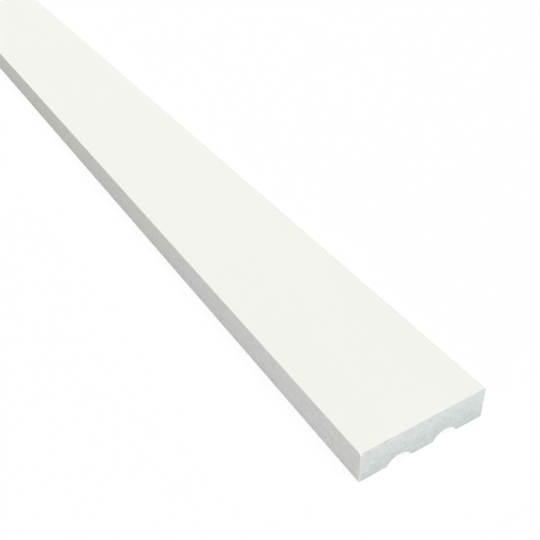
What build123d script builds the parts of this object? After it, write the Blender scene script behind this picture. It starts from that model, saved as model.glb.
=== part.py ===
from build123d import *
import os

# Fibre cement trim board, one length of stock lying good face up.
# X runs along the board, Y across its width and Z up through its thickness.
# The two relief grooves are in the back, which rests on the ground plane.

# Stock size
board_length = 2400.0
board_width = 100.0
board_thickness = 26.0

# Relief grooves in the back, each a circular arc in section
groove_radius = 10.5
groove_depth = 6.5
groove_spacing = 37.5

# Eased edges
face_arris_radius = 0.6
back_arris_radius = 0.4
groove_lip_radius = 0.35
end_arris_radius = 0.25

# Centres of the groove arcs, below the back
groove_centre_y = groove_spacing / 2
groove_centre_z = groove_depth - groove_radius

with BuildPart() as trim_board:
    # Section across the board, with the good face at the top
    with BuildSketch(Plane.YZ) as section:
        Rectangle(board_width, board_thickness, align=(Align.CENTER, Align.MIN))

        # The same grooves either side of the middle, leaving three lands on the back
        with Locations((-groove_centre_y, groove_centre_z), (groove_centre_y, groove_centre_z)):
            Circle(groove_radius, mode=Mode.SUBTRACT)

        face_corners = section.vertices().group_by(Axis.Y)[-1]
        fillet(face_corners, radius=face_arris_radius)

        # The groove lips are the points on the back between its two long edges
        groove_lips = section.vertices().group_by(Axis.Y)[0].sort_by(Axis.X)[1:-1]
        fillet(groove_lips, radius=groove_lip_radius)

        # The long edges are the outermost points on the back
        back_points = section.vertices().group_by(Axis.Y)[0].sort_by(Axis.X)
        back_corners = [back_points.first, back_points.last]
        fillet(back_corners, radius=back_arris_radius)

    # The section runs the whole length, half of it to each side of the origin
    extrude(amount=board_length / 2, both=True)

    # Both ends are cut square and their edges rubbed down, round the grooves as well
    end_faces = trim_board.faces().filter_by(Axis.X)
    fillet(end_faces.edges(), radius=end_arris_radius)

trim_board.part.label = "trim_board"

os.makedirs("parts", exist_ok=True)
export_step(trim_board.part, "parts/trim_board.step")
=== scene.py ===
import logging
import math
from dataclasses import dataclass
from enum import Enum

import bpy
import numpy as np
from mathutils import Matrix, Vector
from mathutils.geometry import delaunay_2d_cdt


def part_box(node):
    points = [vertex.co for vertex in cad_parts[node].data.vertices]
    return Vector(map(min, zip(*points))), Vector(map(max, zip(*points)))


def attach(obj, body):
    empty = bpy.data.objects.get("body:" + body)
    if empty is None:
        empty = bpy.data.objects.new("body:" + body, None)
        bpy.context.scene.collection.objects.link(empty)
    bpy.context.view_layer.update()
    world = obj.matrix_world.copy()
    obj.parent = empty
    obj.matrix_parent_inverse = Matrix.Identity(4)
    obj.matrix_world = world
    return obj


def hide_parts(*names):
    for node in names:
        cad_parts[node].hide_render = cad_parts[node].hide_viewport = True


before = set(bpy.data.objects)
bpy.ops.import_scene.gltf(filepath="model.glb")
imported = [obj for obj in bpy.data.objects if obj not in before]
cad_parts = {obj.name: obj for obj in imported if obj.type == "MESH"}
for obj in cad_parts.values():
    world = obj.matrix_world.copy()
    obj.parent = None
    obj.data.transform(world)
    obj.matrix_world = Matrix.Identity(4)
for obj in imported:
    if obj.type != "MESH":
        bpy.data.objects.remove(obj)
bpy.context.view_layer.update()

log = logging.getLogger("trim_board")

# Short names for the types that come up most
Tree = bpy.types.NodeTree
Node = bpy.types.Node
Socket = bpy.types.NodeSocket
Triple = tuple[float, float, float]
Pair = tuple[float, float]

# Inputs and output of Blender's Mix node when it mixes colours
MIX_A = 6
MIX_B = 7
MIX_RESULT = 2

METRES_PER_MM = 0.001
WHITE = "#FFFFFF"

# Options of Blender's triangulation: keep only what lies inside the loop, and join closer points
INSIDE_LOOP = 1
JOIN_WITHIN = 1e-6


class Surface(Enum):
    """Surfaces of the board that have a finish of their own, in the order of its material slots."""

    FACE = 0
    LONG_EDGE = 1
    BACK = 2
    CUT_END = 3


def linear(hex_colour: str) -> tuple[float, float, float, float]:
    """Turn an sRGB hex colour to the linear colour that a shader takes.

    Args:
        hex_colour: Colour as written for a screen, such as "#F0F1EB".

    Returns:
        Red, green, blue and alpha, each from 0 to 1.
    """
    values = [int(hex_colour[i : i + 2], 16) / 255 for i in (1, 3, 5)]
    # The sRGB standard's curve: a straight foot, then a power
    parts = [v / 12.92 if v <= 0.04045 else ((v + 0.055) / 1.055) ** 2.4 for v in values]
    return (*parts, 1.0)


def add_node(
    tree: Tree,
    kind: str,
    settings: dict[str | int, object] | None = None,
    links: dict[str | int, Socket] | None = None,
) -> Node:
    """Add a node to a tree, give it its settings and link what feeds it.

    Args:
        tree: Node tree that the node joins.
        kind: Blender's name for the type of node.
        settings: Value of each property or unlinked input, by its name or number.
        links: Output that feeds each linked input, by its name or number.

    Returns:
        The new node.
    """
    node = tree.nodes.new(kind)
    for key, value in (settings or {}).items():
        if isinstance(key, str) and hasattr(node, key):
            setattr(node, key, value)
        else:
            node.inputs[key].default_value = value
    for key, output in (links or {}).items():
        tree.links.new(output, node.inputs[key])
    return node


def add_object(name: str, data: bpy.types.ID) -> bpy.types.Object:
    """Put a new object into the scene.

    Args:
        name: Name of the object.
        data: Mesh, lamp or camera that the object holds.

    Returns:
        The object.
    """
    added = bpy.data.objects.new(name, data)
    bpy.context.scene.collection.objects.link(added)
    return added


def new_material(name: str) -> bpy.types.Material:
    """Make a material with no nodes in it yet.

    Args:
        name: Name of the material.

    Returns:
        The material.
    """
    material = bpy.data.materials.new(name)
    material.use_nodes = True
    material.node_tree.nodes.clear()
    return material


def seen_directly(tree: Tree) -> Socket:
    """Give 1 for what is seen straight, in a gloss or through glass, and 0 for diffuse light.

    Args:
        tree: Node tree of a material or the world.

    Returns:
        The output that carries the value.
    """
    path = add_node(tree, "ShaderNodeLightPath")
    seen = path.outputs["Is Camera Ray"]
    for kind in ("Is Glossy Ray", "Is Transmission Ray"):
        seen = add_node(
            tree,
            "ShaderNodeMath",
            {"operation": "MAXIMUM"},
            {0: seen, 1: path.outputs[kind]},
        ).outputs["Value"]
    return seen


def pattern_space(tree: Tree, size_mm: Triple, start_mm: Triple = (0.0, 0.0, 0.0)) -> Socket:
    """Give coordinates in which one feature of a pattern is one unit long each way.

    Args:
        tree: Node tree of the material.
        size_mm: Real size of a feature along the board's axes, in millimetres.
        start_mm: Where the pattern's origin lies from the board's own, in millimetres.

    Returns:
        The output that carries the coordinates.
    """
    place = add_node(tree, "ShaderNodeTexCoord")
    mapping = add_node(
        tree,
        "ShaderNodeMapping",
        {
            "vector_type": "TEXTURE",
            "Location": [v * METRES_PER_MM for v in start_mm],
            "Scale": [v * METRES_PER_MM for v in size_mm],
        },
        {"Vector": place.outputs["Object"]},
    )
    return mapping.outputs["Vector"]


def board_axes(tree: Tree) -> bpy.types.bpy_prop_collection:
    """Give the outputs X, Y and Z that carry the place on the board, in metres."""
    place = add_node(tree, "ShaderNodeTexCoord")
    return add_node(tree, "ShaderNodeSeparateXYZ", links={"Vector": place.outputs["Object"]}).outputs


def edge_share(tree: Tree, along: Socket, half_mm: float, reach_mm: float) -> Socket:
    """Give a share that climbs to 1 over the last stretch before the board's edge on either side.

    Args:
        tree: Node tree of the material.
        along: Output that carries the place along the board's axis.
        half_mm: Distance of both edges from the middle, in millimetres.
        reach_mm: Length of the stretch, in millimetres.

    Returns:
        The output that carries the share.
    """
    away = add_node(tree, "ShaderNodeMath", {"operation": "ABSOLUTE"}, {0: along})
    climb = add_node(
        tree,
        "ShaderNodeMapRange",
        {"From Min": (half_mm - reach_mm) * METRES_PER_MM, "From Max": half_mm * METRES_PER_MM},
        {"Value": away.outputs["Value"]},
    )
    return climb.outputs["Result"]


def rim_share(
    tree: Tree,
    thickness_mm: float,
    arris_mm: float,
    reach_mm: float,
    most: float,
) -> Socket:
    """Give a share that climbs over the last stretch before the top and the bottom arris.

    Args:
        tree: Node tree of the material.
        thickness_mm: Thickness of the board, in millimetres.
        arris_mm: Height of the arrises, over which the share stays at its most, in millimetres.
        reach_mm: Length of the stretch, in millimetres.
        most: Share at the arrises.

    Returns:
        The output that carries the share.
    """
    half = thickness_mm / 2
    above_middle = add_node(
        tree,
        "ShaderNodeMath",
        {"operation": "SUBTRACT", 1: half * METRES_PER_MM},
        {0: board_axes(tree)["Z"]},
    )
    climb = edge_share(tree, above_middle.outputs["Value"], half - arris_mm, reach_mm)
    share = add_node(tree, "ShaderNodeMath", {"operation": "MULTIPLY", 1: most}, {0: climb})
    return share.outputs["Value"]


def strewn(tree: Tree, ground: Node, speck_mm: Triple, weight: float) -> Node:
    """Strew a ground with fine specks, each a little darker or paler than what it lies on.

    Args:
        tree: Node tree of the material.
        ground: Node that mixes the ground's colours.
        speck_mm: Size of a speck along the board's axes, in millimetres.
        weight: How strongly the specks show, from 0 to 1.

    Returns:
        The node that mixes in the specks.
    """
    specks = add_node(
        tree,
        "ShaderNodeTexNoise",
        {"Scale": 1.0, "Detail": 2.0, "Roughness": 0.7},
        {"Vector": pattern_space(tree, speck_mm)},
    )
    return add_node(
        tree,
        "ShaderNodeMix",
        {"data_type": "RGBA", "blend_type": "LINEAR_LIGHT", 0: weight},
        {MIX_A: ground.outputs[MIX_RESULT], MIX_B: specks.outputs["Fac"]},
    )


def close_material(
    tree: Tree,
    colour: Node,
    relief: Node,
    depth_mm: float,
    ior: float,
    roughness: float | Pair,
) -> None:
    """Finish a material with its relief, its shader and its output.

    Args:
        tree: Node tree of the material.
        colour: Node that mixes the surface's colour.
        relief: Noise that gives the height of the relief.
        depth_mm: Depth of the relief, in millimetres.
        ior: Index of refraction.
        roughness: Roughness all over, or that of the relief's lows and that of its highs.
    """
    bump = add_node(
        tree,
        "ShaderNodeBump",
        {"Strength": 1.0, "Distance": depth_mm * METRES_PER_MM},
        {"Height": relief.outputs["Fac"]},
    )
    settings = {"IOR": ior}
    links = {"Base Color": colour.outputs[MIX_RESULT], "Normal": bump.outputs["Normal"]}
    if isinstance(roughness, tuple):
        gloss = add_node(
            tree,
            "ShaderNodeMapRange",
            {"To Min": roughness[0], "To Max": roughness[1]},
            {"Value": relief.outputs["Fac"]},
        )
        links["Roughness"] = gloss.outputs["Result"]
    else:
        settings["Roughness"] = roughness
    shader = add_node(tree, "ShaderNodeBsdfPrincipled", settings, links)
    add_node(tree, "ShaderNodeOutputMaterial", links={"Surface": shader.outputs["BSDF"]})


@dataclass(frozen=True)
class RolledAcrylicPrimer:
    """Acrylic primer rolled on the good face at the factory and dried in an oven.

    It gives the eye a warm, even white with a soft, low sheen. The roller leaves a fine stipple
    that only shows where light grazes it, and the coat is a little thinner here and there. A
    darker band along the edges is painted shade on the rounded arrises.
    """

    half_length_mm: float
    half_width_mm: float
    name: str = "rolled_acrylic_primer"
    colour: str = "#F5F6F0"
    thin_coat_and_arris_shade_colour: str = "#F3F4EE"
    # Darker colour painted over the last stretch before the face's edges: painted shade on the rounded
    # arrises
    painted_edge_shade_colour: str = "#E2E4DF"
    painted_edge_shade_mm: float = 0.9
    ior: float = 1.47
    roughness: Pair = (0.46, 0.58)
    stipple_mm: Triple = (1.3, 1.3, 1.3)
    stipple_depth_mm: float = 0.015
    patch_mm: Triple = (165.0, 55.0, 55.0)

    def build(self) -> bpy.types.Material:
        """Build the material's nodes.

        Returns:
            The material.
        """
        material = new_material(self.name)
        tree = material.node_tree
        patches = add_node(
            tree,
            "ShaderNodeTexNoise",
            {"Scale": 1.0, "Detail": 3.0},
            {"Vector": pattern_space(tree, self.patch_mm)},
        )
        coat = add_node(
            tree,
            "ShaderNodeMix",
            {"data_type": "RGBA", MIX_A: linear(self.colour), MIX_B: linear(self.thin_coat_and_arris_shade_colour)},
            {0: patches.outputs["Fac"]},
        )
        axes = board_axes(tree)
        # Painted shade: the face darkens over its last stretch before each edge
        edge_shade = add_node(
            tree,
            "ShaderNodeMath",
            {"operation": "MAXIMUM"},
            {
                0: edge_share(tree, axes["X"], self.half_length_mm, self.painted_edge_shade_mm),
                1: edge_share(tree, axes["Y"], self.half_width_mm, self.painted_edge_shade_mm),
            },
        )
        colour = add_node(
            tree,
            "ShaderNodeMix",
            {"data_type": "RGBA", MIX_B: linear(self.painted_edge_shade_colour)},
            {0: edge_shade.outputs["Value"], MIX_A: coat.outputs[MIX_RESULT]},
        )
        stipple = add_node(
            tree,
            "ShaderNodeTexNoise",
            {"Scale": 1.0, "Detail": 2.0},
            {"Vector": pattern_space(tree, self.stipple_mm)},
        )
        close_material(tree, colour, stipple, self.stipple_depth_mm, self.ior, self.roughness)
        return material


@dataclass(frozen=True)
class PrimedSawnEdge:
    """Primer sprayed over the long edges, which a rip saw cut.

    It gives the eye the face's white, a touch thinner. The blade's curved marks cross the edge
    in short slanting streaks and show through the coat, over soft patches that are a little
    warmer or cooler and among fine specks, and the coat's tone drifts slowly along the board.
    Painted shade darkens it along the two arrises.
    """

    thickness_mm: float
    name: str = "primed_sawn_edge"
    warm_colour: str = "#EAEBE3"
    cool_colour: str = "#EDEFEC"
    mark_shade: str = "#E8E8E8"
    # Colour painted along the two arrises of the long edge: painted shade, darker than the coat
    thin_coat_and_arris_shade_colour: str = "#CDD0CB"
    ior: float = 1.47
    roughness: Pair = (0.52, 0.68)
    mark_mm: float = 1.1
    mark_length_mm: float = 5.0
    mark_lean: float = 0.5
    mark_bend_per_mm: float = 0.013
    mark_depth_mm: float = 0.09
    # Where in its noise a mark starts to show, and where it is at its full
    mark_range: Pair = (0.4, 0.6)
    blotch_mm: Triple = (15.0, 10.0, 10.0)
    drift_mm: Triple = (320.0, 320.0, 320.0)
    # Moves the drift along the board, so that it is palest about 150 mm in from the near end
    drift_start_mm: Triple = (39180.0, 0.0, 0.0)
    # Blotches and weighted drift are added, and the range spans from all warm to all cool
    drift_weight: float = 1.6
    tone_range: Pair = (1.05, 1.45)
    arris_mm: float = 0.4
    arris_shade_mm: float = 0.9
    arris_shade_share: float = 0.6
    # The coat's grains are about 0.2 mm, drawn coarser so that they show
    speck_mm: Triple = (0.9, 0.9, 0.9)
    speck_share: float = 0.18

    def blade_marks(self, tree: Tree) -> Node:
        """Add a noise whose streaks follow the blade's path, down and towards the near end.

        Args:
            tree: Node tree of the material.

        Returns:
            The noise.
        """
        axes = board_axes(tree)
        lean = add_node(
            tree,
            "ShaderNodeMath",
            {"operation": "MULTIPLY_ADD", 1: self.mark_bend_per_mm / METRES_PER_MM, 2: self.mark_lean},
            {0: axes["Z"]},
        )
        swept = add_node(
            tree,
            "ShaderNodeMath",
            {"operation": "MULTIPLY_ADD"},
            {0: axes["Z"], 1: lean.outputs["Value"], 2: axes["X"]},
        )
        path = add_node(
            tree,
            "ShaderNodeCombineXYZ",
            links={"X": swept.outputs["Value"], "Y": axes["Y"], "Z": axes["Z"]},
        )
        sizes = [v * METRES_PER_MM for v in (self.mark_mm, self.mark_length_mm, self.mark_length_mm)]
        scaled = add_node(
            tree,
            "ShaderNodeMapping",
            {"vector_type": "TEXTURE", "Scale": sizes},
            {"Vector": path.outputs["Vector"]},
        )
        return add_node(
            tree,
            "ShaderNodeTexNoise",
            {"Scale": 1.0, "Detail": 4.0, "Roughness": 0.7},
            {"Vector": scaled.outputs["Vector"]},
        )

    def build(self) -> bpy.types.Material:
        """Build the material's nodes.

        Returns:
            The material.
        """
        material = new_material(self.name)
        tree = material.node_tree
        marks = self.blade_marks(tree)
        blotches = add_node(
            tree,
            "ShaderNodeTexNoise",
            {"Scale": 1.0, "Detail": 4.0},
            {"Vector": pattern_space(tree, self.blotch_mm)},
        )
        drift = add_node(
            tree,
            "ShaderNodeTexNoise",
            {"Scale": 1.0, "Detail": 1.0},
            {"Vector": pattern_space(tree, self.drift_mm, self.drift_start_mm)},
        )
        tone = add_node(
            tree,
            "ShaderNodeMath",
            {"operation": "MULTIPLY_ADD", 1: self.drift_weight},
            {0: drift.outputs["Fac"], 2: blotches.outputs["Fac"]},
        )
        spread = add_node(
            tree,
            "ShaderNodeMapRange",
            {"From Min": self.tone_range[0], "From Max": self.tone_range[1]},
            {"Value": tone.outputs["Value"]},
        )
        coat = add_node(
            tree,
            "ShaderNodeMix",
            {"data_type": "RGBA", MIX_A: linear(self.warm_colour), MIX_B: linear(self.cool_colour)},
            {0: spread.outputs["Result"]},
        )
        streaks = add_node(
            tree,
            "ShaderNodeMapRange",
            {"From Min": self.mark_range[0], "From Max": self.mark_range[1]},
            {"Value": marks.outputs["Fac"]},
        )
        marked = add_node(
            tree,
            "ShaderNodeMix",
            {"data_type": "RGBA", "blend_type": "MULTIPLY", MIX_B: linear(self.mark_shade)},
            {0: streaks.outputs["Result"], MIX_A: coat.outputs[MIX_RESULT]},
        )
        specked = strewn(tree, marked, self.speck_mm, self.speck_share)
        # Painted shade: the coat darkens towards the top and bottom arrises
        colour = add_node(
            tree,
            "ShaderNodeMix",
            {"data_type": "RGBA", MIX_B: linear(self.thin_coat_and_arris_shade_colour)},
            {
                0: rim_share(tree, self.thickness_mm, self.arris_mm, self.arris_shade_mm, self.arris_shade_share),
                MIX_A: specked.outputs[MIX_RESULT],
            },
        )
        close_material(tree, colour, marks, self.mark_depth_mm, self.ior, self.roughness)
        return material


@dataclass(frozen=True)
class SealedCementBack:
    """Thin sealer wiped over the back and into its relief grooves.

    It gives the eye a flatter, slightly greyer white than the face, with faint drag lines along
    the board and small cloudy patches where the cement has drunk the sealer in.
    """

    name: str = "sealed_cement_back"
    colour: str = "#E9EAE6"
    dry_colour: str = "#DADCD9"
    ior: float = 1.5
    roughness: float = 0.72
    drag_mm: Triple = (180.0, 1.1, 1.1)
    drag_depth_mm: float = 0.06
    cloud_mm: Triple = (44.0, 22.0, 22.0)
    dry_range: Pair = (0.35, 0.7)

    def build(self) -> bpy.types.Material:
        """Build the material's nodes.

        Returns:
            The material.
        """
        material = new_material(self.name)
        tree = material.node_tree
        drag = add_node(
            tree,
            "ShaderNodeTexNoise",
            {"Scale": 1.0, "Detail": 3.0},
            {"Vector": pattern_space(tree, self.drag_mm)},
        )
        clouds = add_node(
            tree,
            "ShaderNodeTexNoise",
            {"Scale": 1.0, "Detail": 5.0, "Roughness": 0.6},
            {"Vector": pattern_space(tree, self.cloud_mm)},
        )
        spread = add_node(
            tree,
            "ShaderNodeMapRange",
            {"From Min": self.dry_range[0], "From Max": self.dry_range[1]},
            {"Value": clouds.outputs["Fac"]},
        )
        colour = add_node(
            tree,
            "ShaderNodeMix",
            {"data_type": "RGBA", MIX_A: linear(self.colour), MIX_B: linear(self.dry_colour)},
            {0: spread.outputs["Result"]},
        )
        close_material(tree, colour, drag, self.drag_depth_mm, self.ior, self.roughness)
        return material


@dataclass(frozen=True)
class SawnFibreCement:
    """Fibre cement core laid bare where a saw cut the board to length.

    It gives the eye a cool, light grey with no sheen, with soft clouds, a few thin pale and dark
    dashes where the cut crosses the pressed layers, fine specks of fibre and grit, faint warmer
    and cooler stains, and a thin film of primer that has run over from the front edge, broadest
    at the top. Painted light and shade make it paler towards the good face and the rear edge and
    darker low down, and painted shade darkens a narrow line along its upper and lower rims.
    """

    half_width_mm: float
    thickness_mm: float
    name: str = "sawn_fibre_cement"
    # Painted light and shade: the end is paler at the top and darker low down
    painted_light_upper_colour: str = "#F1F5F5"
    painted_shade_lower_colour: str = "#D7DFDD"
    layer_dark: str = "#C8D3D1"
    layer_light: str = "#F5F8F7"
    run_over_colour: str = "#ECEFEC"
    ior: float = 1.52
    roughness: float = 0.86
    layer_mm: Triple = (40.0, 7.0, 1.2)
    # Where in the layers' noise a dash starts to show, and where it is at its full
    dark_range: Pair = (0.39, 0.27)
    light_range: Pair = (0.61, 0.69)
    cloud_mm: Triple = (7.0, 7.0, 7.0)
    # How far clouds lift the change from dark to pale, and its rise for each step to the rear, which
    # paints light on the rear of the end
    cloud_lift_mm: float = 29.0
    lean: float = 0.07
    # Fibres and grains are about 0.2 mm thick, drawn coarser so that they show
    speck_mm: Triple = (1.5, 3.0, 0.9)
    speck_share: float = 0.17
    stain_mm: Triple = (9.0, 9.0, 9.0)
    stain_range: Pair = (0.4, 0.6)
    warm_stain: str = "#FFFEFD"
    cool_stain: str = "#FCFEFE"
    # Grit is 0.1 to 0.3 mm, drawn coarser so that it shows
    grit_mm: Triple = (0.5, 0.5, 0.5)
    grit_depth_mm: float = 0.06
    # Width of the film of primer at the bottom and at the top, and size of its runs
    run_over_mm: Pair = (1.0, 7.0)
    run_mm: Triple = (40.0, 1.1, 14.0)
    run_spread: float = 1.8
    run_range: Pair = (1.3, 2.0)
    # Painted shade: a narrow darker line along the end's upper and lower rims
    painted_rim_shade_colour: str = "#CFD0CB"
    arris_mm: float = 0.25
    painted_rim_shade_mm: float = 0.7
    painted_rim_shade_most: float = 0.6

    def clouded_ground(self, tree: Tree, clouds: Socket) -> Node:
        """Mix the paler upper and darker lower colours, painted light and shade, with clouds that
        raise and lower the change.

        The change also leans, so that the rear of the end is a little paler than the front, as painted
        light.

        Args:
            tree: Node tree of the material.
            clouds: Output that carries the clouds.

        Returns:
            The node that mixes the colours.
        """
        axes = board_axes(tree)
        # Painted light: the change rises towards the rear, so the rear of the end is paler
        leaning = add_node(
            tree,
            "ShaderNodeMath",
            {"operation": "MULTIPLY_ADD", 1: self.lean},
            {0: axes["Y"], 2: axes["Z"]},
        )
        height = add_node(
            tree,
            "ShaderNodeMath",
            {"operation": "MULTIPLY_ADD", 1: self.cloud_lift_mm * METRES_PER_MM},
            {0: clouds, 2: leaning.outputs["Value"]},
        )
        middle = self.cloud_lift_mm / 2
        share = add_node(
            tree,
            "ShaderNodeMapRange",
            {
                "From Min": middle * METRES_PER_MM,
                "From Max": (middle + self.thickness_mm) * METRES_PER_MM,
            },
            {"Value": height.outputs["Value"]},
        )
        return add_node(
            tree,
            "ShaderNodeMix",
            {"data_type": "RGBA", MIX_A: linear(self.painted_shade_lower_colour), MIX_B: linear(self.painted_light_upper_colour)},
            {0: share.outputs["Result"]},
        )

    def layered(self, tree: Tree, ground: Node) -> Node:
        """Lay the dark and the pale dashes of the pressed layers over the ground.

        Args:
            tree: Node tree of the material.
            ground: Node that mixes the ground's colours.

        Returns:
            The node that mixes in the last of them.
        """
        layers = add_node(
            tree,
            "ShaderNodeTexNoise",
            {"Scale": 1.0, "Detail": 2.0},
            {"Vector": pattern_space(tree, self.layer_mm)},
        )
        below = ground
        dashes = ((self.layer_dark, self.dark_range), (self.layer_light, self.light_range))
        for colour, (start, end) in dashes:
            share = add_node(
                tree,
                "ShaderNodeMapRange",
                {"From Min": start, "From Max": end},
                {"Value": layers.outputs["Fac"]},
            )
            below = add_node(
                tree,
                "ShaderNodeMix",
                {"data_type": "RGBA", MIX_B: linear(colour)},
                {0: share.outputs["Result"], MIX_A: below.outputs[MIX_RESULT]},
            )
        return below

    def stained(self, tree: Tree, cement: Node) -> Node:
        """Tint the cement here and there, and strew it with specks a little darker or paler than it.

        Args:
            tree: Node tree of the material.
            cement: Node that mixes the cement's colours.

        Returns:
            The node that mixes in the specks.
        """
        stains = add_node(
            tree,
            "ShaderNodeTexNoise",
            {"Scale": 1.0, "Detail": 2.0},
            {"Vector": pattern_space(tree, self.stain_mm)},
        )
        spread = add_node(
            tree,
            "ShaderNodeMapRange",
            {"From Min": self.stain_range[0], "From Max": self.stain_range[1]},
            {"Value": stains.outputs["Fac"]},
        )
        tint = add_node(
            tree,
            "ShaderNodeMix",
            {"data_type": "RGBA", MIX_A: linear(self.warm_stain), MIX_B: linear(self.cool_stain)},
            {0: spread.outputs["Result"]},
        )
        tinted = add_node(
            tree,
            "ShaderNodeMix",
            {"data_type": "RGBA", "blend_type": "MULTIPLY", 0: 1.0},
            {MIX_A: cement.outputs[MIX_RESULT], MIX_B: tint.outputs[MIX_RESULT]},
        )
        return strewn(tree, tinted, self.speck_mm, self.speck_share)

    def run_over(self, tree: Tree) -> Socket:
        """Tell where primer has run over from the front edge, in a fan of fine upright runs.

        Args:
            tree: Node tree of the material.

        Returns:
            The output that carries how much primer there is.
        """
        axes = board_axes(tree)
        from_edge = add_node(
            tree,
            "ShaderNodeMath",
            {"operation": "ADD", 1: self.half_width_mm * METRES_PER_MM},
            {0: axes["Y"]},
        )
        reach = add_node(
            tree,
            "ShaderNodeMapRange",
            {
                "From Max": self.thickness_mm * METRES_PER_MM,
                "To Min": self.run_over_mm[0] * METRES_PER_MM,
                "To Max": self.run_over_mm[1] * METRES_PER_MM,
            },
            {"Value": axes["Z"]},
        )
        ratio = add_node(
            tree,
            "ShaderNodeMath",
            {"operation": "DIVIDE"},
            {0: from_edge.outputs["Value"], 1: reach.outputs["Result"]},
        )
        runs = add_node(
            tree,
            "ShaderNodeTexNoise",
            {"Scale": 1.0, "Detail": 1.0},
            {"Vector": pattern_space(tree, self.run_mm)},
        )
        ragged = add_node(
            tree,
            "ShaderNodeMath",
            {"operation": "MULTIPLY_ADD", 1: self.run_spread},
            {0: runs.outputs["Fac"], 2: ratio.outputs["Value"]},
        )
        share = add_node(
            tree,
            "ShaderNodeMapRange",
            {
                "From Min": self.run_range[0],
                "From Max": self.run_range[1],
                "To Min": 1.0,
                "To Max": 0.0,
            },
            {"Value": ragged.outputs["Value"]},
        )
        return share.outputs["Result"]

    def build(self) -> bpy.types.Material:
        """Build the material's nodes.

        Returns:
            The material.
        """
        material = new_material(self.name)
        tree = material.node_tree
        clouds = add_node(
            tree,
            "ShaderNodeTexNoise",
            {"Scale": 1.0, "Detail": 4.0},
            {"Vector": pattern_space(tree, self.cloud_mm)},
        ).outputs["Fac"]
        cement = self.stained(tree, self.layered(tree, self.clouded_ground(tree, clouds)))
        primed = add_node(
            tree,
            "ShaderNodeMix",
            {"data_type": "RGBA", MIX_B: linear(self.run_over_colour)},
            {0: self.run_over(tree), MIX_A: cement.outputs[MIX_RESULT]},
        )
        # Painted shade along the end's upper and lower rims
        colour = add_node(
            tree,
            "ShaderNodeMix",
            {"data_type": "RGBA", MIX_B: linear(self.painted_rim_shade_colour)},
            {
                0: rim_share(tree, self.thickness_mm, self.arris_mm, self.painted_rim_shade_mm, self.painted_rim_shade_most),
                MIX_A: primed.outputs[MIX_RESULT],
            },
        )
        grit = add_node(
            tree,
            "ShaderNodeTexNoise",
            {"Scale": 1.0, "Detail": 3.0, "Roughness": 0.7},
            {"Vector": pattern_space(tree, self.grit_mm)},
        )
        close_material(tree, colour, grit, self.grit_depth_mm, self.ior, self.roughness)
        return material


@dataclass(frozen=True)
class StudioPaper:
    """Matte white background paper, rolled out under the board.

    It gives the eye a plain white with the board's soft shadow on it.
    """

    name: str = "studio_paper"
    colour: str = "#DADADA"
    # Share of its white, as seen, that shadows don't darken
    seen_white: float = 0.9

    def build(self) -> bpy.types.Material:
        """Build the material's nodes.

        Returns:
            The material.
        """
        material = new_material(self.name)
        tree = material.node_tree
        paper = add_node(tree, "ShaderNodeBsdfDiffuse", {"Color": linear(self.colour)})
        bright = add_node(tree, "ShaderNodeBsdfDiffuse", {"Color": linear(WHITE)})
        glow = add_node(tree, "ShaderNodeEmission", {"Color": linear(WHITE), "Strength": 1.0})
        seen = add_node(
            tree,
            "ShaderNodeMixShader",
            {0: self.seen_white},
            {1: bright.outputs["BSDF"], 2: glow.outputs["Emission"]},
        )
        mix = add_node(
            tree,
            "ShaderNodeMixShader",
            links={0: seen_directly(tree), 1: paper.outputs["BSDF"], 2: seen.outputs["Shader"]},
        )
        add_node(tree, "ShaderNodeOutputMaterial", links={"Surface": mix.outputs["Shader"]})
        return material


@dataclass(frozen=True)
class OutlinePoint:
    """One point on the board's section: its place and outward normal, in millimetres.

    The stretch from this point to the next has the surface named here, and steps is how many
    fine pieces that stretch is cut into next to the ends.
    """

    y: float
    z: float
    normal_y: float
    normal_z: float
    surface: Surface
    steps: int = 1


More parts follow.
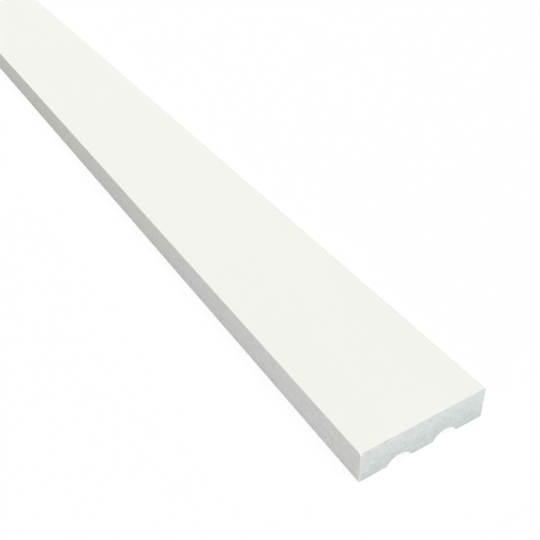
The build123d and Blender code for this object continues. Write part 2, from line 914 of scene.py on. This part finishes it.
@dataclass
class BoardSection:
    """Outline of the board's section, with its two relief grooves and eased edges, in millimetres."""

    width: float
    thickness: float
    groove_radius: float = 10.5
    groove_depth: float = 6.5
    groove_spacing: float = 37.5
    face_arris: float = 0.6
    back_arris: float = 0.4
    groove_lip: float = 0.35
    arris_pieces: int = 6
    lip_pieces: int = 4
    groove_pieces: int = 18
    # Points are laid at these distances from a flat's ends, where the flat is this many times longer
    guard_steps: tuple[float, ...] = (0.4, 1.6, 4.5, 11.0)
    guard_room: float = 2.4
    widest_strip: float = 9.0
    fine_step: float = 1.0

    @property
    def groove_centre_y(self) -> float:
        """Distance of each groove's arc centre from the middle of the board."""
        return self.groove_spacing / 2

    @property
    def groove_centre_z(self) -> float:
        """Height of the groove arcs' centres, which lie below the back."""
        return self.groove_depth - self.groove_radius

    @property
    def lip_rise(self) -> float:
        """Height of the lips' centres above the groove arcs' centres."""
        return self.groove_lip - self.groove_centre_z

    @property
    def lip_reach(self) -> float:
        """Distance of each lip's centre from the middle of its groove."""
        return math.sqrt((self.groove_radius + self.groove_lip) ** 2 - self.lip_rise**2)

    def arc(
        self,
        centre: Pair,
        radius: float,
        start: float,
        end: float,
        pieces: int,
        surface: Surface,
        outward: float = 1.0,
    ) -> list[OutlinePoint]:
        """Lay points along an arc, leaving out its last one, which the next stretch starts with.

        Args:
            centre: Centre of the arc.
            radius: Radius of the arc.
            start: Angle of its first point, in radians from +Y.
            end: Angle of its last point, in radians from +Y.
            pieces: How many straight pieces stand for the arc.
            surface: Surface that the arc belongs to.
            outward: 1 where the board is inside the arc and -1 where it is outside.

        Returns:
            The points, in order.
        """
        points = []
        for i in range(pieces):
            angle = start + (end - start) * i / pieces
            out_y = math.cos(angle)
            out_z = math.sin(angle)
            points.append(
                OutlinePoint(
                    centre[0] + radius * out_y,
                    centre[1] + radius * out_z,
                    out_y * outward,
                    out_z * outward,
                    surface,
                )
            )
        return points

    def flat(self, start: Pair, end: Pair, surface: Surface) -> list[OutlinePoint]:
        """Lay points along a flat, close together near its two ends, leaving out its last one.

        Args:
            start: First point of the flat.
            end: Point just after the flat's last one.
            surface: Surface that the flat belongs to.

        Returns:
            The points, in order.
        """
        a = np.array(start)
        b = np.array(end)
        length = float(np.linalg.norm(b - a))
        along = (b - a) / length
        guards = [g for g in self.guard_steps if g < length / self.guard_room]
        inner = length - 2 * guards[-1]
        middle = max(1, round(inner / self.widest_strip))
        stops = [0.0, *guards]
        stops += [guards[-1] + inner * i / middle for i in range(1, middle)]
        stops += [length - g for g in reversed(guards)]
        ends = [*stops[1:], length]
        points = []
        for here, there in zip(stops, ends):
            place = a + along * here
            steps = max(1, round((there - here) / self.fine_step))
            points.append(OutlinePoint(place[0], place[1], along[1], -along[0], surface, steps))
        return points

    def groove(self, centre_y: float) -> list[OutlinePoint]:
        """Lay points over one relief groove, from its left lip to its right lip.

        Args:
            centre_y: Place of the groove's middle across the board.

        Returns:
            The points, in order.
        """
        reach = self.lip_reach
        meet = math.atan2(self.lip_rise, reach)
        lip_turn = math.pi / 2 - meet
        left_lip = self.arc(
            (centre_y - reach, self.groove_lip),
            self.groove_lip,
            -math.pi / 2,
            -math.pi / 2 + lip_turn,
            self.lip_pieces,
            Surface.BACK,
        )
        cove = self.arc(
            (centre_y, self.groove_centre_z),
            self.groove_radius,
            math.pi - meet,
            meet,
            self.groove_pieces,
            Surface.BACK,
            outward=-1.0,
        )
        right_lip = self.arc(
            (centre_y + reach, self.groove_lip),
            self.groove_lip,
            math.pi + meet,
            math.pi * 1.5,
            self.lip_pieces,
            Surface.BACK,
        )
        return left_lip + cove + right_lip

    def outline(self) -> list[OutlinePoint]:
        """Lay the whole outline, anticlockwise as seen from the +X end.

        Returns:
            The points, in order, starting at the lower left edge.
        """
        half = self.width / 2
        top = self.thickness
        quarter = math.pi / 2
        inner = self.groove_centre_y - self.lip_reach
        outer = self.groove_centre_y + self.lip_reach
        back = self.back_arris
        face = self.face_arris
        points = self.arc(
            (-half + back, back), back, math.pi, 3 * quarter, self.arris_pieces, Surface.BACK
        )
        points += self.flat((-half + back, 0.0), (-outer, 0.0), Surface.BACK)
        points += self.groove(-self.groove_centre_y)
        points += self.flat((-inner, 0.0), (inner, 0.0), Surface.BACK)
        points += self.groove(self.groove_centre_y)
        points += self.flat((outer, 0.0), (half - back, 0.0), Surface.BACK)
        points += self.arc((half - back, back), back, -quarter, 0.0, self.arris_pieces, Surface.BACK)
        points += self.flat((half, back), (half, top - face), Surface.LONG_EDGE)
        points += self.arc(
            (half - face, top - face), face, 0.0, quarter, self.arris_pieces, Surface.FACE
        )
        points += self.flat((half - face, top), (-half + face, top), Surface.FACE)
        points += self.arc(
            (-half + face, top - face), face, quarter, math.pi, self.arris_pieces, Surface.FACE
        )
        points += self.flat((-half, top - face), (-half, back), Surface.LONG_EDGE)
        return points

    def holds(self, y: float, z: float, margin: float) -> bool:
        """Tell whether a point is inside the section, by at least a margin.

        Args:
            y: Place across the board.
            z: Height above the back.
            margin: Least distance to the outline.

        Returns:
            True if the point is inside.
        """
        if abs(y) > self.width / 2 - margin or not margin < z < self.thickness - margin:
            return False
        from_groove = math.hypot(abs(y) - self.groove_centre_y, z - self.groove_centre_z)
        corner_y = abs(y) - (self.width / 2 - self.face_arris)
        corner_z = abs(z - self.thickness / 2) - (self.thickness / 2 - self.face_arris)
        in_corner = min(corner_y, corner_z) > 0
        if in_corner and math.hypot(corner_y, corner_z) > self.face_arris - margin:
            return False
        return from_groove > self.groove_radius + margin


@dataclass(frozen=True)
class Nick:
    """One knock on an edge or a corner: where it is, which way it faces and how big it is, in mm."""

    place: np.ndarray
    along: np.ndarray
    outward: np.ndarray
    reach: float
    depth: float

    def press(self, points: np.ndarray) -> None:
        """Press points that stand out past the knock back onto it.

        Args:
            points: Points of the board, one row each, which are changed.
        """
        offset = points - self.place
        share = np.clip(1 - (offset @ self.along / self.reach) ** 2, 0, None)
        over = offset @ self.outward + self.depth * share
        hit = (over > 0) & (share > 0)
        points[hit] -= over[hit, None] * self.outward


@dataclass
class HandlingWear:
    """Small departures of a real board from its ideal shape, all of them inward, in millimetres."""

    section: BoardSection
    length: float
    seed: int = 41
    arris_wander: float = 0.1
    wander_reach: float = 0.8
    wander_waves: tuple[float, ...] = (11.0, 19.0, 37.0, 83.0)
    wander_sway: Pair = (1.0, 3.0)
    long_nicks: int = 64
    end_nicks: int = 26
    nick_reach: Pair = (1.5, 4.5)
    nick_depth: Pair = (0.06, 0.3)
    end_share: float = 0.45
    end_crowding: float = 0.05
    # Axes that the edges of the ends run along, the long ones counted twice
    end_axes: tuple[int, ...] = (1, 1, 2)
    corner_depth: float = 1.25
    corner_reach: float = 60.0

    @property
    def half_size(self) -> np.ndarray:
        """Half of the board's length, width and thickness."""
        return np.array([self.length, self.section.width, self.section.thickness]) / 2

    def edge_nick(self, draw: np.random.Generator, axis: int, crowding: float) -> Nick:
        """Choose a knock somewhere on one of the four edges that run along an axis.

        Args:
            draw: Source of the random choices.
            axis: Axis that the edge runs along, 0 for the board's length.
            crowding: Share of the edge's half length, from each end, that the knock may lie in.

        Returns:
            The knock.
        """
        along = np.eye(3)[axis]
        signs = np.where(along > 0, 0.0, draw.choice((-1.0, 1.0), 3))
        share = draw.choice((-1.0, 1.0)) * (1 - crowding * draw.random())
        place = (signs + along * share) * self.half_size + (0.0, 0.0, self.section.thickness / 2)
        arris = self.section.face_arris if axis == 0 and signs[2] > 0 else self.section.back_arris
        return Nick(
            place,
            along,
            signs / math.sqrt(2),
            draw.uniform(*self.nick_reach),
            arris * (math.sqrt(2) - 1) + draw.uniform(*self.nick_depth),
        )

    def nicks(self) -> list[Nick]:
        """Choose where the board has been knocked.

        Returns:
            The knocks, more of them close to the two ends, with the near corner's last.
        """
        draw = np.random.default_rng(self.seed)
        chosen = []
        for _ in range(self.long_nicks):
            crowding = self.end_crowding if draw.random() < self.end_share else 1.0
            chosen.append(self.edge_nick(draw, 0, crowding))
        for _ in range(self.end_nicks):
            chosen.append(self.edge_nick(draw, draw.choice(self.end_axes), 1.0))
        near_corner = self.half_size * (1.0, -1.0, 1.0) + (0.0, 0.0, self.section.thickness / 2)
        along = np.array([1.0, 1.0, 0.0]) / math.sqrt(2)
        outward = np.array([1.0, -1.0, 1.0]) / math.sqrt(3)
        chosen.append(Nick(near_corner, along, outward, self.corner_reach, self.corner_depth))
        return chosen

    def apply(self, places: np.ndarray, normals: np.ndarray) -> np.ndarray:
        """Wear the board: let its long arrises wander, then knock it here and there.

        Args:
            places: Points on the board, one row each.
            normals: Outward normal at each point.

        Returns:
            The worn points.
        """
        draw = np.random.default_rng(self.seed)
        depth = np.zeros(len(places))
        x = places[:, 0]
        for y in (-1.0, 1.0):
            for z in (0.0, self.section.thickness):
                swing = np.zeros(len(places))
                for wave in self.wander_waves:
                    turn = 2 * np.pi * (x / wave + draw.random())
                    swing += np.sin(turn + draw.uniform(*self.wander_sway) * np.sin(x / wave))
                share = 0.5 + 0.5 * swing / len(self.wander_waves)
                away = np.hypot(places[:, 1] - y * self.half_size[1], places[:, 2] - z)
                depth += self.arris_wander * share * np.exp(-((away / self.wander_reach) ** 2))
        worn = places - normals * depth[:, None]
        for nick in self.nicks():
            nick.press(worn)
        return worn


@dataclass
class SawCut:
    """Marks that the blade left on a cut end, as shallow arcs and pits, in millimetres."""

    seed: int
    blade_y: float = 86.0
    blade_z: float = -112.0
    pitch: float = 2.7
    mark_depth: float = 0.06
    # The marks sway in a long swell across the end, and a weaker one across and up it
    swell: float = 17.0
    cross_swell: Pair = (7.3, 11.0)
    cross_share: float = 0.6
    pit_count: int = 70
    pit_radius: Pair = (0.5, 1.3)
    pit_depth: Pair = (0.04, 0.16)
    rim_fade: float = 1.5

    def depth(self, places: np.ndarray, rim: np.ndarray, section: BoardSection) -> np.ndarray:
        """Work out how deep the blade cut at each point of the end, fading to nothing at its rim.

        Args:
            places: Points on the end, across the board and up, one row each.
            rim: Points of the end's rim, one row each.
            section: Section of the board.

        Returns:
            Depth of each point.
        """
        draw = np.random.default_rng(self.seed)
        y = places[:, 0]
        z = places[:, 1]
        from_blade = np.hypot(y - self.blade_y, z - self.blade_z)
        cross_y, cross_z = self.cross_swell
        shift = np.sin(y / self.swell) + self.cross_share * np.sin(y / cross_y + z / cross_z)
        total = self.mark_depth * (0.5 + 0.5 * np.sin(2 * np.pi * from_blade / self.pitch + shift))
        for _ in range(self.pit_count):
            pit_y = draw.uniform(-section.width / 2, section.width / 2)
            pit_z = draw.uniform(0, section.thickness)
            radius = draw.uniform(*self.pit_radius)
            deep = draw.uniform(*self.pit_depth)
            away = np.hypot(y - pit_y, z - pit_z) / radius
            total += deep * np.clip(1 - away**2, 0, None) ** 2
        from_rim = np.linalg.norm(places[:, None, :] - rim[None, :, :], axis=2).min(axis=1)
        return total * np.clip(from_rim / self.rim_fade, 0, 1)


@dataclass
class TrimBoard:
    """The board itself: one length of primed fibre cement with worn edges and sawn ends.

    Its rings are close together near the two ends and further apart from there to the middle, and
    each end is capped by a fine net of triangles. Sizes are in millimetres.
    """

    node: str = "trim_board"
    piece_name: str = "primed_trim_board"
    record_slot: str = "primed_fibre_cement"
    end_arris: float = 0.25
    end_arris_pieces: int = 3
    fine_stretch: float = 9.0
    fine_gap: float = 0.9
    first_gap: float = 1.2
    gap_growth: float = 1.035
    widest_gap: float = 8.0
    cap_gap: float = 0.75
    cap_jitter: float = 0.22
    cap_margin: float = 0.375
    seed: int = 7
    saw_seed: int = 17

    def __post_init__(self) -> None:
        """Take the board's size from the CAD model, in millimetres."""
        low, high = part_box(self.node)
        size = (Vector(high) - Vector(low)) / METRES_PER_MM
        self.length = size.x
        self.section = BoardSection(width=size.y, thickness=size.z)
        self.wear = HandlingWear(self.section, self.length)
        self.finishes = {
            Surface.FACE: RolledAcrylicPrimer(half_length_mm=size.x / 2, half_width_mm=size.y / 2),
            Surface.LONG_EDGE: PrimedSawnEdge(thickness_mm=size.z),
            Surface.BACK: SealedCementBack(),
            Surface.CUT_END: SawnFibreCement(half_width_mm=size.y / 2, thickness_mm=size.z),
        }
        self.points: list[np.ndarray] = []
        self.normals: list[np.ndarray] = []
        self.saw_depth: list[float] = []
        self.faces: list[tuple[int, ...]] = []
        self.surfaces: list[Surface] = []

    def half_stations(self) -> tuple[list[float], list[float]]:
        """Give the distances from an end at which the section is repeated.

        Returns:
            The fine ones next to the end, and the wider ones from there to the middle.
        """
        fine = list(np.arange(self.end_arris, self.fine_stretch, self.fine_gap))
        fine.append(self.fine_stretch)
        wide = []
        gap = self.first_gap
        place = self.fine_stretch
        while place + gap < self.length / 2:
            place += gap
            wide.append(place)
            gap = min(gap * self.gap_growth, self.widest_gap)
        spare = self.length / 2 - place
        stretch = (self.length / 2 - spare / 2 - self.fine_stretch) / (place - self.fine_stretch)
        wide = [self.fine_stretch + (w - self.fine_stretch) * stretch for w in wide]
        return fine, wide

    def fine_outline(self) -> list[OutlinePoint]:
        """Cut the outline's flats into the short pieces that it has next to the ends.

        Returns:
            The points, in order.
        """
        points = []
        outline = self.section.outline()
        for here, there in zip(outline, outline[1:] + outline[:1]):
            for i in range(here.steps):
                share = i / here.steps
                points.append(
                    OutlinePoint(
                        here.y + (there.y - here.y) * share,
                        here.z + (there.z - here.z) * share,
                        here.normal_y,
                        here.normal_z,
                        here.surface,
                    )
                )
        return points

    def add_ring(self, outline: list[OutlinePoint], x: float, inset: float, turn: float) -> list[int]:
        """Add one ring of points round the board.

        Args:
            outline: Outline to follow.
            x: Place of the ring along the board.
            inset: How far the ring is drawn in from the outline.
            turn: Angle by which the normals lean towards the end that the ring is near, in radians.

        Returns:
            The new points' numbers.
        """
        first = len(self.points)
        endward = math.copysign(math.sin(turn), x)
        sideways = math.cos(turn)
        for p in outline:
            self.points.append(np.array([x, p.y - p.normal_y * inset, p.z - p.normal_z * inset]))
            self.normals.append(np.array([endward, p.normal_y * sideways, p.normal_z * sideways]))
            self.saw_depth.append(0.0)
        return list(range(first, first + len(outline)))

    def join_rings(self, low: list[int], high: list[int], surfaces: list[Surface]) -> None:
        """Join two rings of the same outline, the first of them nearer the -X end.

        Args:
            low: Points of the ring nearer the -X end.
            high: Points of the ring nearer the +X end.
            surfaces: Surface of each face between the rings, in order.
        """
        count = len(surfaces)
        for i, surface in enumerate(surfaces):
            j = (i + 1) % count
            self.faces.append((low[i], low[j], high[j], high[i]))
            self.surfaces.append(surface)

    def join_fine_ring(self, wide: list[int], fine: list[int], side: int) -> None:
        """Join a wide ring to a fine one, each flat strip with as many corners as it needs.

        Args:
            wide: Points of the ring on the outline as it is laid.
            fine: Points of the ring on the fine outline.
            side: 1 at the +X end, where the fine ring lies further along X, and -1 at the other.
        """
        outline = self.section.outline()
        count = len(outline)
        start = 0
        for i, p in enumerate(outline):
            j = (i + 1) % count
            row = [fine[(start + k) % len(fine)] for k in range(p.steps + 1)]
            corners = [wide[i], *row, wide[j]]
            if side > 0:
                corners.reverse()
            self.faces.append(tuple(corners))
            self.surfaces.append(p.surface)
            start += p.steps

    def add_cap(self, ring: list[int], side: int) -> None:
        """Close one end with a fine net of triangles that carries the saw's marks.

        Args:
            ring: Points of the end's last ring, in order.
            side: 1 for the +X end and -1 for the other.
        """
        draw = np.random.default_rng(self.seed + side)
        rim = [(self.points[i][1], self.points[i][2]) for i in ring]
        inside = []
        for y in np.arange(-self.section.width / 2, self.section.width / 2, self.cap_gap):
            for z in np.arange(0, self.section.thickness, self.cap_gap):
                place = np.array([y, z]) + draw.uniform(-self.cap_jitter, self.cap_jitter, 2)
                if self.section.holds(place[0], place[1], self.end_arris + self.cap_margin):
                    inside.append(tuple(place))
        flat = [Vector(p) for p in rim + inside]
        loop = list(range(len(rim)))
        _, _, triangles, origins, _, _ = delaunay_2d_cdt(flat, [], [loop], INSIDE_LOOP, JOIN_WITHIN)
        first = len(self.points)
        numbers = {}
        for new, sources in enumerate(origins):
            source = min(sources)
            numbers[new] = ring[source] if source < len(rim) else first + source - len(rim)
        cut = SawCut(seed=self.saw_seed + side)
        depths = cut.depth(np.array(inside), np.array(rim), self.section)
        for place, deep in zip(inside, depths):
            self.points.append(np.array([side * self.length / 2, place[0], place[1]]))
            self.normals.append(np.array([float(side), 0.0, 0.0]))
            self.saw_depth.append(deep)
        for triangle in triangles:
            corners = [numbers[v] for v in triangle]
            if side < 0:
                corners.reverse()
            self.faces.append(tuple(corners))
            self.surfaces.append(Surface.CUT_END)

    def add_end(self, side: int, outline: list[OutlinePoint], stations: list[float]) -> list[int]:
        """Build one end: its fine rings, its rounded edge and its cap.

        Args:
            side: 1 for the +X end and -1 for the other.
            outline: The fine outline.
            stations: Distances of the fine rings from the end.

        Returns:
            The points of the fine ring furthest from the end.
        """
        half = self.length / 2
        rings = [self.add_ring(outline, side * (half - s), 0.0, 0.0) for s in reversed(stations)]
        for i in range(1, self.end_arris_pieces + 1):
            turn = math.pi / 2 * i / self.end_arris_pieces
            x = half - self.end_arris * (1 - math.sin(turn))
            rings.append(self.add_ring(outline, side * x, self.end_arris * (1 - math.cos(turn)), turn))
        for i, (inner, outer) in enumerate(zip(rings, rings[1:])):
            in_arris = i >= len(stations) - 1
            surfaces = [Surface.CUT_END if in_arris else p.surface for p in outline]
            low, high = (inner, outer) if side > 0 else (outer, inner)
            self.join_rings(low, high, surfaces)
        self.add_cap(rings[-1], side)
        return rings[0]

    def build(self) -> bpy.types.Object:
        """Build the board's mesh.

        Returns:
            The board as an object, in metres.
        """
        outline = self.section.outline()
        fine_outline = self.fine_outline()
        fine, wide = self.half_stations()
        low_ring = self.add_end(-1, fine_outline, fine)
        high_ring = self.add_end(1, fine_outline, fine)
        places = [-self.length / 2 + w for w in wide]
        places += [self.length / 2 - w for w in reversed(wide)]
        rings = [self.add_ring(outline, x, 0.0, 0.0) for x in places]
        surfaces = [p.surface for p in outline]
        for low, high in zip(rings, rings[1:]):
            self.join_rings(low, high, surfaces)
        self.join_fine_ring(rings[0], low_ring, -1)
        self.join_fine_ring(rings[-1], high_ring, 1)

        normals = np.array(self.normals)
        points = np.array(self.points) - normals * np.array(self.saw_depth)[:, None]
        points = self.wear.apply(points, normals)
        mesh = bpy.data.meshes.new(self.piece_name)
        mesh.from_pydata((points * METRES_PER_MM).tolist(), [], self.faces)
        mesh.polygons.foreach_set("use_smooth", [True] * len(self.faces))
        mesh.update()
        return add_object(self.piece_name, mesh)

    def dress(self, board: bpy.types.Object) -> None:
        """Give each surface of the board its finish.

        Args:
            board: The board as an object.
        """
        for surface in Surface:
            board.data.materials.append(self.finishes[surface].build())
        board.data.polygons.foreach_set("material_index", [s.value for s in self.surfaces])

    def place(self) -> bpy.types.Object:
        """Build and dress the board, and put it in the CAD solid's place.

        Returns:
            The finished board.
        """
        board = self.build()
        self.dress(board)
        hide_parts(self.node)
        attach(board, "root")
        return board


@dataclass(frozen=True)
class StudioFloor:
    """Sheet of background paper that the board lies on, in metres."""

    side: float = 40.0
    below: float = 0.0001
    paper: StudioPaper = StudioPaper()

    def build(self) -> bpy.types.Object:
        """Lay the sheet just under the board.

        Returns:
            The sheet as an object.
        """
        half = self.side / 2
        corners = [(x * half, y * half, -self.below) for x, y in ((-1, -1), (1, -1), (1, 1), (-1, 1))]
        mesh = bpy.data.meshes.new("studio_floor")
        mesh.from_pydata(corners, [], [(0, 1, 2, 3)])
        mesh.materials.append(self.paper.build())
        floor = add_object("studio_floor", mesh)
        return floor


@dataclass(frozen=True)
class Softbox:
    """Square lamp with a diffuser.

    Its level is the share of full white to which it lights a white card that faces it.
    """

    name: str
    place: Triple
    aim: Triple
    side: float
    level: float

    def build(self) -> bpy.types.Object:
        """Hang the lamp and turn it to its aim.

        Returns:
            The lamp as an object.
        """
        toward = Vector(self.aim) - Vector(self.place)
        lamp = bpy.data.lights.new(self.name, "AREA")
        lamp.shape = "SQUARE"
        lamp.size = self.side
        # Such a lamp of P watts lights the card to P / (pi * distance) ** 2
        lamp.energy = self.level * math.pi**2 * toward.length_squared
        holder = add_object(self.name, lamp)
        holder.location = self.place
        holder.rotation_euler = toward.to_track_quat("-Z", "Y").to_euler()
        return holder


@dataclass(frozen=True)
class OverheadSilk:
    """Wide silk above the board, as a lamp far away that covers a large part of the sky."""

    name: str = "overhead_silk"
    lean_to_end_deg: float = 20.0
    lean_to_front_deg: float = -6.0
    spread_deg: float = 40.0
    level: float = 0.67

    def build(self) -> bpy.types.Object:
        """Hang the silk.

        Returns:
            The lamp as an object.
        """
        lamp = bpy.data.lights.new(self.name, "SUN")
        # A far lamp of pi watts on each square metre lights a facing white card to full white
        lamp.energy = self.level * math.pi
        lamp.angle = math.radians(self.spread_deg)
        holder = add_object(self.name, lamp)
        leans = (self.lean_to_front_deg, self.lean_to_end_deg, 0.0)
        holder.rotation_euler = [math.radians(lean) for lean in leans]
        return holder


@dataclass(frozen=True)
class WhiteSurround:
    """White studio walls: seen as white, and lighting the board at a lower level of their own."""

    level: float = 0.32

    def build(self) -> None:
        """Set the world's nodes."""
        world = bpy.data.worlds.new("white_surround")
        world.use_nodes = True
        tree = world.node_tree
        tree.nodes.clear()
        seen = seen_directly(tree)
        strength = add_node(
            tree,
            "ShaderNodeMapRange",
            {"To Min": self.level, "To Max": 1.0},
            {"Value": seen},
        )
        walls = add_node(
            tree,
            "ShaderNodeBackground",
            {"Color": linear(WHITE)},
            {"Strength": strength.outputs["Result"]},
        )
        add_node(tree, "ShaderNodeOutputWorld", links={"Surface": walls.outputs["Background"]})
        bpy.context.scene.world = world


@dataclass(frozen=True)
class PhotoCamera:
    """Camera at the photograph's viewpoint, placed from the middle of the near end's lower edge."""

    lens_mm: float = 53.38
    sensor_mm: float = 36.0
    from_near_end: Triple = (0.2414, -0.2489, 0.4034)
    heading_deg: float = 59.71
    look_down_deg: float = 37.51
    roll_deg: float = -1.90

    def build(self, near_end_x: float) -> bpy.types.Object:
        """Set the camera up.

        Args:
            near_end_x: Place of the near end along the board, in metres.

        Returns:
            The camera as an object.
        """
        lens = bpy.data.cameras.new("photo_camera")
        lens.lens = self.lens_mm
        lens.sensor_width = self.sensor_mm
        camera = add_object("photo_camera", lens)
        turn = Matrix.Rotation(math.radians(self.heading_deg), 4, "Z")
        tilt = Matrix.Rotation(math.radians(90 - self.look_down_deg), 4, "X")
        roll = Matrix.Rotation(math.radians(self.roll_deg), 4, "Z")
        place = Vector(self.from_near_end) + Vector((near_end_x, 0.0, 0.0))
        camera.matrix_world = Matrix.Translation(place) @ turn @ tilt @ roll
        bpy.context.scene.camera = camera
        return camera


def main() -> None:
    """Build the board, the studio round it and the camera, and log the board's face count."""
    logging.basicConfig(level=logging.INFO, format="%(message)s")
    board = TrimBoard()
    piece = board.place()
    log.info("%s: %d faces", piece.name, len(piece.data.polygons))

    floor = StudioFloor().build()
    log.info("%s: laid", floor.name)
    near_end_x = board.length / 2 * METRES_PER_MM
    lamps = (
        OverheadSilk(),
        Softbox(
            "front_softbox",
            place=(near_end_x + 0.4, -0.9, 0.07),
            aim=(near_end_x - 0.1, 0.0, 0.0),
            side=0.14,
            level=0.17,
        ),
        Softbox(
            "far_softbox",
            place=(near_end_x - 0.7, 0.1, 0.9),
            aim=(near_end_x - 0.7, 0.0, 0.0),
            side=0.5,
            level=0.032,
        ),
    )
    for lamp in lamps:
        log.info("%s: hung", lamp.build().name)
    WhiteSurround().build()
    PhotoCamera().build(near_end_x)
    bpy.context.scene.view_settings.view_transform = "Standard"


if __name__ == "__main__":
    main()
